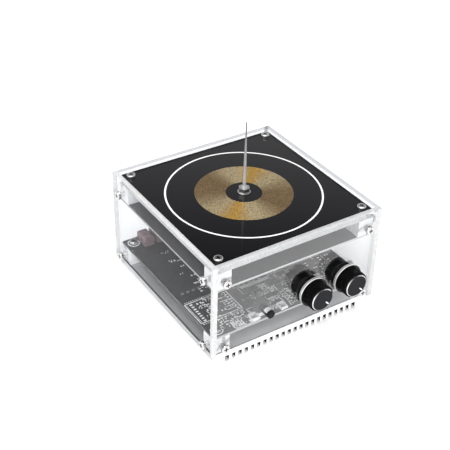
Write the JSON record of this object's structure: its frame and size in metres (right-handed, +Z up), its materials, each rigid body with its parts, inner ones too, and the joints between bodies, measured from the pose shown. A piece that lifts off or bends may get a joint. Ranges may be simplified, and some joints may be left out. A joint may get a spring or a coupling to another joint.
{
  "type": "desktop resonant transformer",
  "caption": "Desktop planar resonant transformer in a clear case: coil board with a needle electrode on top, heat sink below, knobs and a button in front.",
  "frame": {"origin": "middle of the heat sink's underside, on the surface the part stands on, straight below the needle", "axes": "+Z up along the needle; -Y is the front, with the knobs; +X to the right seen from the front"},
  "size_m": [0.1344, 0.1442, 0.13],
  "materials": {
    "clear_acrylic": "polished clear acrylic",
    "black_laminate": "gloss black solder mask on glass-fibre board",
    "grey_laminate": "black solder mask, pale cut edges",
    "gold_track": "gold-plated fine copper spiral",
    "copper_track": "bare copper track",
    "brass": "turned brass",
    "heat_sink_aluminium": "extruded aluminium, satin",
    "nickel_steel": "nickel-plated steel",
    "knob_black": "black anodised, fine knurl",
    "knob_silver": "turned aluminium",
    "knob_face": "dark grey satin with bright bevel",
    "zinc_plate": "zinc-plated steel",
    "black_plastic": "moulded black plastic",
    "white_plastic": "moulded white plastic",
    "spring_steel": "spring wire",
    "film_red": "dull red dipped film",
    "can_sleeve": "dark sleeve with bare top",
    "ferrite": "sintered ferrite",
    "enamel_wire": "enamelled copper wire",
    "chip_black": "moulded epoxy package",
    "tinned": "tinned metal",
    "ceramic_pale": "pale ceramic chips",
    "insulator": "grey insulating pad"
  },
  "bodies": {
    "root": {"front_panel": "clear_acrylic", "rear_panel": "clear_acrylic", "left_panel": "clear_acrylic", "right_panel": "clear_acrylic", "top_plate": "clear_acrylic", "top_corner_blocks": "clear_acrylic", "bottom_corner_blocks": "clear_acrylic", "heat_sink": "heat_sink_aluminium", "panel_screws": "nickel_steel", "coil_board_screws": "nickel_steel", "base_screws": "nickel_steel", "main_board_screws": "nickel_steel", "primary_board_screws": "nickel_steel", "transistor_screws": "nickel_steel", "coil_board": "black_laminate", "secondary_winding": "gold_track", "needle_electrode": "nickel_steel", "electrode_nuts": "nickel_steel", "electrode_washer": "nickel_steel", "primary_board": "grey_laminate", "primary_winding": "copper_track", "primary_posts": "brass", "secondary_post": "brass", "main_board": "grey_laminate", "transistor_pads": "insulator", "power_transistors": "chip_black", "film_capacitors": "film_red", "electrolytic_capacitors": "can_sleeve", "toroid_core": "ferrite", "toroid_winding": "enamel_wire", "module_board": "grey_laminate", "module_shield": "tinned", "module_pins": "tinned", "driver_chips": "chip_black", "surface_mount_parts": "ceramic_pale", "pot_bushings": "zinc_plate", "pot_cases": "black_plastic", "pot_terminals": "tinned", "pot_nuts": "nickel_steel", "pot_washers": "nickel_steel", "switch_housing": "white_plastic", "switch_spring": "spring_steel", "power_inlet": "black_plastic", "power_inlet_pin": "nickel_steel", "audio_jack": "black_plastic"},
    "left_knob": {"left_knob": "knob_black", "left_knob_ring": "knob_silver", "left_knob_cap": "knob_face", "left_pot_shaft": "zinc_plate"},
    "right_knob": {"right_knob": "knob_black", "right_knob_ring": "knob_silver", "right_knob_cap": "knob_face", "right_pot_shaft": "zinc_plate"},
    "push_button": {"switch_button": "black_plastic"}
  },
  "joints": [
    {"name": "left_knob_turn", "type": "hinge", "parent": "root", "child": "left_knob", "pos_m": [0.0117, -0.065, 0.033], "axis": [0, 1, 0], "range_deg": [-285, 15]},
    {"name": "right_knob_turn", "type": "hinge", "parent": "root", "child": "right_knob", "pos_m": [0.0397, -0.065, 0.033], "axis": [0, 1, 0], "range_deg": [-285, 15]},
    {"name": "button_press", "type": "slide", "parent": "root", "child": "push_button", "axis": [0, 1, 0], "range_m": [0, 0.0015], "stiffness_N_per_m": 600, "springref_m": -0.0015, "deforming": ["switch_spring"]}
  ]
}
